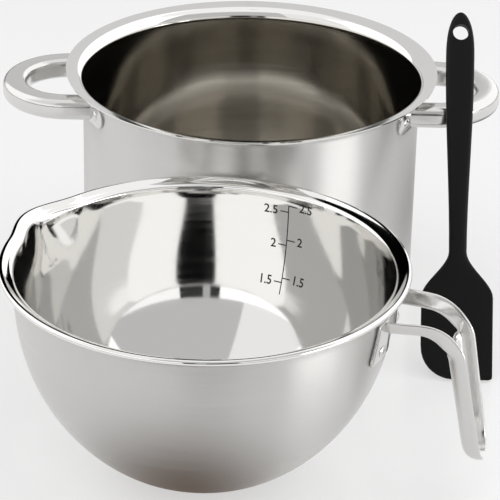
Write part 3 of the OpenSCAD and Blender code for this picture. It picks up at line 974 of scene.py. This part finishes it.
def strap_rivet(context):
    """The rivet in the tab of one leg: its head on the tab and its shank in the tab's hole."""
    bowl, strap = context.scene.bowl, context.scene.strap
    tab_turn, low, _ = tab_numbers(context)
    r, h = strap.rivet, strap.rivet_height
    dome = (r * r + h * h) / (2 * h)
    edge = degrees(asin(r / dome))
    rivet = turned("bowl_rivet_back_head", [(0, -1 * MM), (r / 2, -1 * MM), (r / 2, 0), (r, 0)]
                   + arc((0, h - dome), dome, 90 - edge, 90, 8)[1:], 32)
    z = low + strap.rivet_rise
    inner = bowl_radius(bowl, z) + strap.tab_gap
    slope = atan((bowl_radius(bowl, z + MM) - bowl_radius(bowl, z - MM)) / (2 * MM))
    rivet.data.transform(Matrix.Rotation(radians(tab_turn), 4, "Z")
                         @ Matrix.Translation((inner, 0, z))
                         @ Matrix.Rotation(pi / 2 + slope, 4, "Y")
                         @ Matrix.Translation((0, 0, strap.tab_sheet)))
    wear(rivet, once(buffed_steel))
    smooth(rivet)
    return rivet


class BOILER_OT_bowl_handle(Operator):
    """Presses the bowl's handle from a flat blank: two legs, a channel-shaped grip, two tabs"""
    bl_idname = "boiler.bowl_handle"
    bl_label = "Bowl handle"

    def execute(self, context):
        mirror = Matrix.Diagonal((1, -1, 1, 1))
        turn = Matrix.Rotation(radians(context.scene.strap.turn), 4, "Z")
        place = Matrix.Translation(bowl_centre(context)) @ turn
        strap = pressed_strap(context)
        tab = strap_tab(context)
        handle = join([strap, tab, copied(tab, "tab_twin", mirror)], "bowl_handle_strap")
        close_up(handle)
        wear(handle, once(buffed_steel))
        smooth(handle, 60)
        handle.data.transform(place)
        seat(handle, "bowl", "polished_steel", "bowl_handle")

        back = strap_rivet(context)
        front = copied(back, "bowl_rivet_front_head", place @ mirror)
        back.data.transform(place)
        seat(back, "bowl", "polished_steel", "bowl_rivet_back")
        seat(front, "bowl", "polished_steel", "bowl_rivet_front")
        return {"FINISHED"}


# Spatula

def spatula_ring(spatula, z):
    """Half widths to the left and right, and the thickness, at a height."""
    def corner(r):
        return r * (1 - sqrt(1 - (1 - z / r) ** 2.2)) if z < r else 0
    blade, neck = spatula.blade_length, spatula.blade_length + spatula.neck_length
    top = max(z - spatula.length + spatula.top, 0) / spatula.top
    round_top = sqrt(max(1 - top ** 2.4 * 0.96, 0))
    grip = blend(spatula.grip_low, spatula.grip_high,
                 ramp((z - neck) / (spatula.length - 32 * MM - neck))) * round_top
    part = ramp((z - blade) / spatula.neck_length)
    left = blend(spatula.blade_width / 2 - corner(spatula.heel), grip, part)
    right = blend(spatula.blade_width / 2 - corner(spatula.toe), grip, part)
    if z < blade:
        thick = blend(spatula.edge, spatula.root, z / blade)
    else:
        thick = blend(spatula.root, spatula.thickness, part) * blend(1, round_top, 0.5)
    return left, right, thick


def spatula_place(context):
    """The matrix that leans the upright spatula on the pot's right handle."""
    pot, loop, spatula = context.scene.pot, context.scene.loop, context.scene.spatula
    height, centre = loop_middle(context)
    lean = radians(spatula.lean)
    touch = 0.3 * MM
    rest = pot.radius + spatula.out - 4.9 * MM - centre
    outside = loop.radius + loop.width / 2
    rest_in = outside - sqrt(outside ** 2 - rest ** 2)
    reach = ((loop.width / 2 - loop.corner) * cos(lean)
             + (loop.height / 2 - loop.corner) * sin(lean)
             + loop.corner + touch + spatula.thickness / 2)
    lift = spatula.edge / 2 * sin(lean) + touch
    y = rest_in - loop.radius - (reach + (height - lift) * sin(lean)) / cos(lean)
    return (Matrix.Translation((pot.radius + spatula.out, y, lift))
            @ Matrix.Rotation(-lean, 4, "X"))


class BOILER_OT_spatula(Operator):
    """Moulds the silicone spatula and leans it on the pot's right handle"""
    bl_idname = "boiler.spatula"
    bl_label = "Spatula"

    def execute(self, context):
        spatula = context.scene.spatula
        blade, neck = spatula.blade_length, spatula.blade_length + spatula.neck_length
        rows = [z * MM for z in (0, 0.5, 1.1, 2, 3, 4.5, 6.5, 9, 12, 15.5, 20, 28, 38)]
        rows += [blade + spatula.neck_length * i / 12 for i in range(13)]
        rows += [blend(neck, spatula.length - spatula.top, i / 10) for i in range(1, 10)]
        rows += [spatula.length - spatula.top * (1 - u) for u in
                 (0, 0.15, 0.3, 0.45, 0.58, 0.7, 0.8, 0.88, 0.94, 0.98, 1)]
        sides = 40
        put_down()
        bpy.ops.mesh.primitive_cylinder_add(vertices=sides, radius=1, depth=1, location=(0, 0, 0.5))
        body = name_it("spatula_moulding")
        bpy.ops.object.transform_apply(location=True)
        bpy.ops.object.mode_set(mode="EDIT")
        for i in range(1, len(rows) - 1):
            bpy.ops.mesh.select_all(action="SELECT")
            bpy.ops.mesh.bisect(plane_co=(0, 0, i / (len(rows) - 1)), plane_no=(0, 0, 1))
        put_down()

        def moulded(co):
            z = rows[round(co.z * (len(rows) - 1))]
            left, right, thick = spatula_ring(spatula, z)
            edge = min(thick / 2 - 0.05 * MM, 3.2 * MM)
            flat = Vector((co.x, co.y)).normalized()
            half = (left + right) / 2
            x = flat.x * edge + (half - edge) * max(min(flat.x * 1.9, 1), -1)
            y = flat.y * edge + (thick / 2 - edge) * max(min(flat.y * 1.9, 1), -1)
            return Vector((x + (right - left) / 2, y, z))

        press(body, moulded)
        put_down()
        bpy.ops.mesh.primitive_cylinder_add(vertices=48, radius=spatula.hang_radius, depth=0.03,
                                            location=(0, 0, spatula.length - spatula.hang_in),
                                            rotation=(pi / 2, 0, 0))
        pin = name_it("hang_pin")
        modify(body, "BOOLEAN", operation="DIFFERENCE", object=pin, solver="EXACT")
        hold(pin)
        bpy.ops.object.delete()
        wear(body, once(moulded_silicone))
        smooth(body, 35)
        body.data.transform(spatula_place(context))
        seat(body, "spatula", "silicone", "spatula_body")
        return {"FINISHED"}


class BOILER_OT_closed_in(Operator):
    """Gives the disc in the base and the bar in the spatula their own metals"""
    bl_idname = "boiler.closed_in"
    bl_label = "Closed-in pieces"

    def execute(self, context):
        wear(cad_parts["pot_base_core"], once(plain_aluminium))
        wear(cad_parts["spatula_core"], once(buffed_steel))
        return {"FINISHED"}


# Stage

# The studio round the set, in metres from its middle. For each softbox: its directions, its
# elevations and its strength. The steel shows the gaps between them as dark bands.
STAGE_RADIUS = 1.9
SOFTBOXES = {
    "softbox_left": ((-139, -75), (3, 62), 1.45),
    "softbox_right": ((72, 168), (3, 62), 1.45),
    "softbox_rear_slit": ((174.5, 180), (8, 62), 0.55),
    "softbox_front_left": ((-75, -9), (5, 24), 1.4),
    "softbox_front_right": ((16, 72), (8, 24), 1.2),
    "softbox_low_right": ((46, 72), (1, 8), 10.0),
    "softbox_slit": ((-3, 1.5), (8, 24), 0.5),
    "ceiling_left": ((-75, -25), (24, 62), 1.0),
    "ceiling_front": ((-25, 72), (24, 62), 0.6),
    "softbox_top": ((0, 360), (62, 89), 1.1),
}

# The camera that was solved from the two rims: its place, how far it looks down, its roll, and
# its focal length in pixels of a picture 500 pixels wide
CAMERA_PLACE = (0.00145, -1.39502, 0.71302)
CAMERA_DOWN = 26.47
CAMERA_ROLL = 1.295
CAMERA_FOCAL = 2494.99
PICTURE_WIDTH = 500


def glow(name, colour_value, strength):
    """A material that only glows."""
    made = bpy.data.materials.new(name)
    made.use_nodes = True
    tree = made.node_tree
    tree.nodes.clear()
    shine = add(tree, "ShaderNodeEmission", {"Color": (*colour_value, 1), "Strength": strength})
    add(tree, "ShaderNodeOutputMaterial", {"Surface": shine.outputs[0]})
    return made


def behind_camera(piece):
    """Makes a stage piece that lights the set and shows in the steel, but not in the picture."""
    piece.visible_camera = False


def softbox(name, sweep, rise, strength):
    """A curved glowing wall round the set, between two directions and two elevations.

    Direction 0 is the camera's side and 90 the right; the wall is part of a sphere."""
    low, high = rise
    steps = max(2, round((high - low) / 6))
    points = []
    for i in range(steps + 1):
        up = radians(blend(low, high, i / steps))
        points.append((0, -STAGE_RADIUS * cos(up), STAGE_RADIUS * sin(up)))
    wall = line_of(name, points)
    bpy.ops.mesh.select_all(action="SELECT")
    bpy.ops.mesh.spin(steps=max(4, round((sweep[1] - sweep[0]) / 6)),
                      angle=-radians(sweep[1] - sweep[0]), center=(0, 0, 0), axis=(0, 0, 1))
    put_down()
    wall.data.transform(Matrix.Rotation(radians(sweep[0]), 4, "Z"))
    wear(wall, glow(name, (1, 1, 1), strength))
    behind_camera(wall)
    return wall


def only_for(light, title, pieces):
    """Lets a glowing piece light only some pieces."""
    chosen = bpy.data.collections.new(title)
    for piece in pieces:
        chosen.objects.link(piece)
    light.light_linking.receiver_collection = chosen


def floor_patch(name, centre, reach, colour_value):
    """A soft-edged glowing patch on the floor, out of the picture, that only the steel shows: a
    painted reflection that lights nothing.
    """
    put_down()
    bpy.ops.mesh.primitive_plane_add(size=2, location=(0, 0, 0))
    patch = name_it(name)
    patch.scale = (*reach, 1)
    patch.location = (*centre, 0.5 * MM)
    made = bpy.data.materials.new(name)
    made.use_nodes = True
    tree = made.node_tree
    tree.nodes.clear()
    place = add(tree, "ShaderNodeTexCoord")
    ball = add(tree, "ShaderNodeTexGradient", {"Vector": place.outputs["Object"]},
               gradient_type="SPHERICAL")
    fade = add(tree, "ShaderNodeMapRange", {"Value": ball.outputs["Fac"]},
               interpolation_type="SMOOTHSTEP")
    shine = add(tree, "ShaderNodeEmission", {"Color": (*colour_value, 1)})
    clear = add(tree, "ShaderNodeBsdfTransparent")
    mixed = add(tree, "ShaderNodeMixShader", {0: fade.outputs[0], 1: clear.outputs[0],
                                              2: shine.outputs[0]})
    add(tree, "ShaderNodeOutputMaterial", {"Surface": mixed.outputs[0]})
    wear(patch, made)
    patch.visible_diffuse = False
    patch.visible_shadow = False
    behind_camera(patch)


class BOILER_OT_stage(Operator):
    """Lays the floor and sets the lamps and the camera"""
    bl_idname = "boiler.stage"
    bl_label = "Stage"

    def execute(self, context):
        put_down()
        bpy.ops.mesh.primitive_circle_add(vertices=96, radius=STAGE_RADIUS, fill_type="NGON",
                                          location=(0, 0, 0))
        floor = name_it("studio_floor")
        wear(floor, white_floor())

        # The camera sees a plain white world. All else gets only a dim light from it, so that the
        # gaps between the softboxes show dark in the steel.
        world = bpy.data.worlds.new("Studio")
        context.scene.world = world
        world.use_nodes = True
        tree = world.node_tree
        rays = add(tree, "ShaderNodeLightPath")
        bright = add(tree, "ShaderNodeMapRange", {"Value": rays.outputs["Is Camera Ray"],
                                                  "To Min": 0.04, "To Max": 1.0})
        sky = tree.nodes["Background"]
        sky.inputs["Color"].default_value = (1, 1, 1, 1)
        tree.links.new(bright.outputs[0], sky.inputs["Strength"])
        for name, (sweep, rise, strength) in SOFTBOXES.items():
            softbox(name, sweep, rise, strength)
        # This one fills the rear gap for the pieces that would mirror it as a black band
        rear = softbox("softbox_for_handles", (168, 221), (8, 62), 0.75)
        shown_to = ("pot_shell", "pot_loop_left", "pot_loop_right", "bowl_handle_strap")
        only_for(rear, "handles", [bpy.data.objects[name] for name in shown_to])
        # Painted reflection: a glowing brown patch that darkens the bowl's lower outside, in the
        # steel only
        floor_patch("wooden_edge", (-0.035, -0.285), (0.11, 0.115), to_linear("6c5a4e"))
        # Painted reflection: a glowing grey patch behind the pot's right handle, seen in the steel
        # only
        floor_patch("grey_edge", (0.2, 0.12), (0.12, 0.24), to_linear("6a6a6a"))

        camera_data = bpy.data.cameras.new("camera")
        camera = bpy.data.objects.new("camera", camera_data)
        bpy.context.collection.objects.link(camera)
        pitch, roll = radians(CAMERA_DOWN), radians(CAMERA_ROLL)
        ahead = Vector((0, cos(pitch), -sin(pitch)))
        level = Vector((1, 0, 0))
        up = level.cross(ahead)
        right = level * cos(roll) + up * sin(roll)
        top = up * cos(roll) - level * sin(roll)
        turn = Matrix((right, top, -ahead)).transposed().to_4x4()
        camera.matrix_world = Matrix.Translation(CAMERA_PLACE) @ turn
        camera_data.sensor_width = 36
        camera_data.lens = CAMERA_FOCAL * camera_data.sensor_width / PICTURE_WIDTH
        camera_data.clip_start = 0.01
        context.scene.camera = camera
        context.scene.view_settings.view_transform = "Standard"
        return {"FINISHED"}


class BOILER_PT_panel(Panel):
    """Lists the pieces of the set"""
    bl_label = "Double boiler set"
    bl_idname = "BOILER_PT_panel"
    bl_space_type = "VIEW_3D"
    bl_region_type = "UI"
    bl_category = "Cookware"

    def draw(self, context):
        for operator in OPERATORS:
            self.layout.operator(operator.bl_idname)


GROUPS = {"pot": PotSizes, "loop": LoopSizes, "bowl": BowlSizes, "strap": StrapSizes,
          "spatula": SpatulaSizes, "finishes": Finishes}
OPERATORS = (BOILER_OT_pot, BOILER_OT_pot_handles, BOILER_OT_brackets, BOILER_OT_bowl,
             BOILER_OT_marks, BOILER_OT_bowl_handle, BOILER_OT_spatula, BOILER_OT_closed_in,
             BOILER_OT_stage)


def register():
    """Registers the sizes, the operators and the panel."""
    for name, group in GROUPS.items():
        bpy.utils.register_class(group)
        setattr(bpy.types.Scene, name, PointerProperty(type=group))
    for operator in OPERATORS:
        bpy.utils.register_class(operator)
    bpy.utils.register_class(BOILER_PT_panel)


def unregister():
    """Takes back all that register added."""
    bpy.utils.unregister_class(BOILER_PT_panel)
    for operator in reversed(OPERATORS):
        bpy.utils.unregister_class(operator)
    for name, group in GROUPS.items():
        delattr(bpy.types.Scene, name)
        bpy.utils.unregister_class(group)


def main():
    """Builds the set piece by piece."""
    register()
    for operator in OPERATORS:
        group, name = operator.bl_idname.split(".")
        getattr(getattr(bpy.ops, group), name)()


if __name__ == "__main__":
    main()
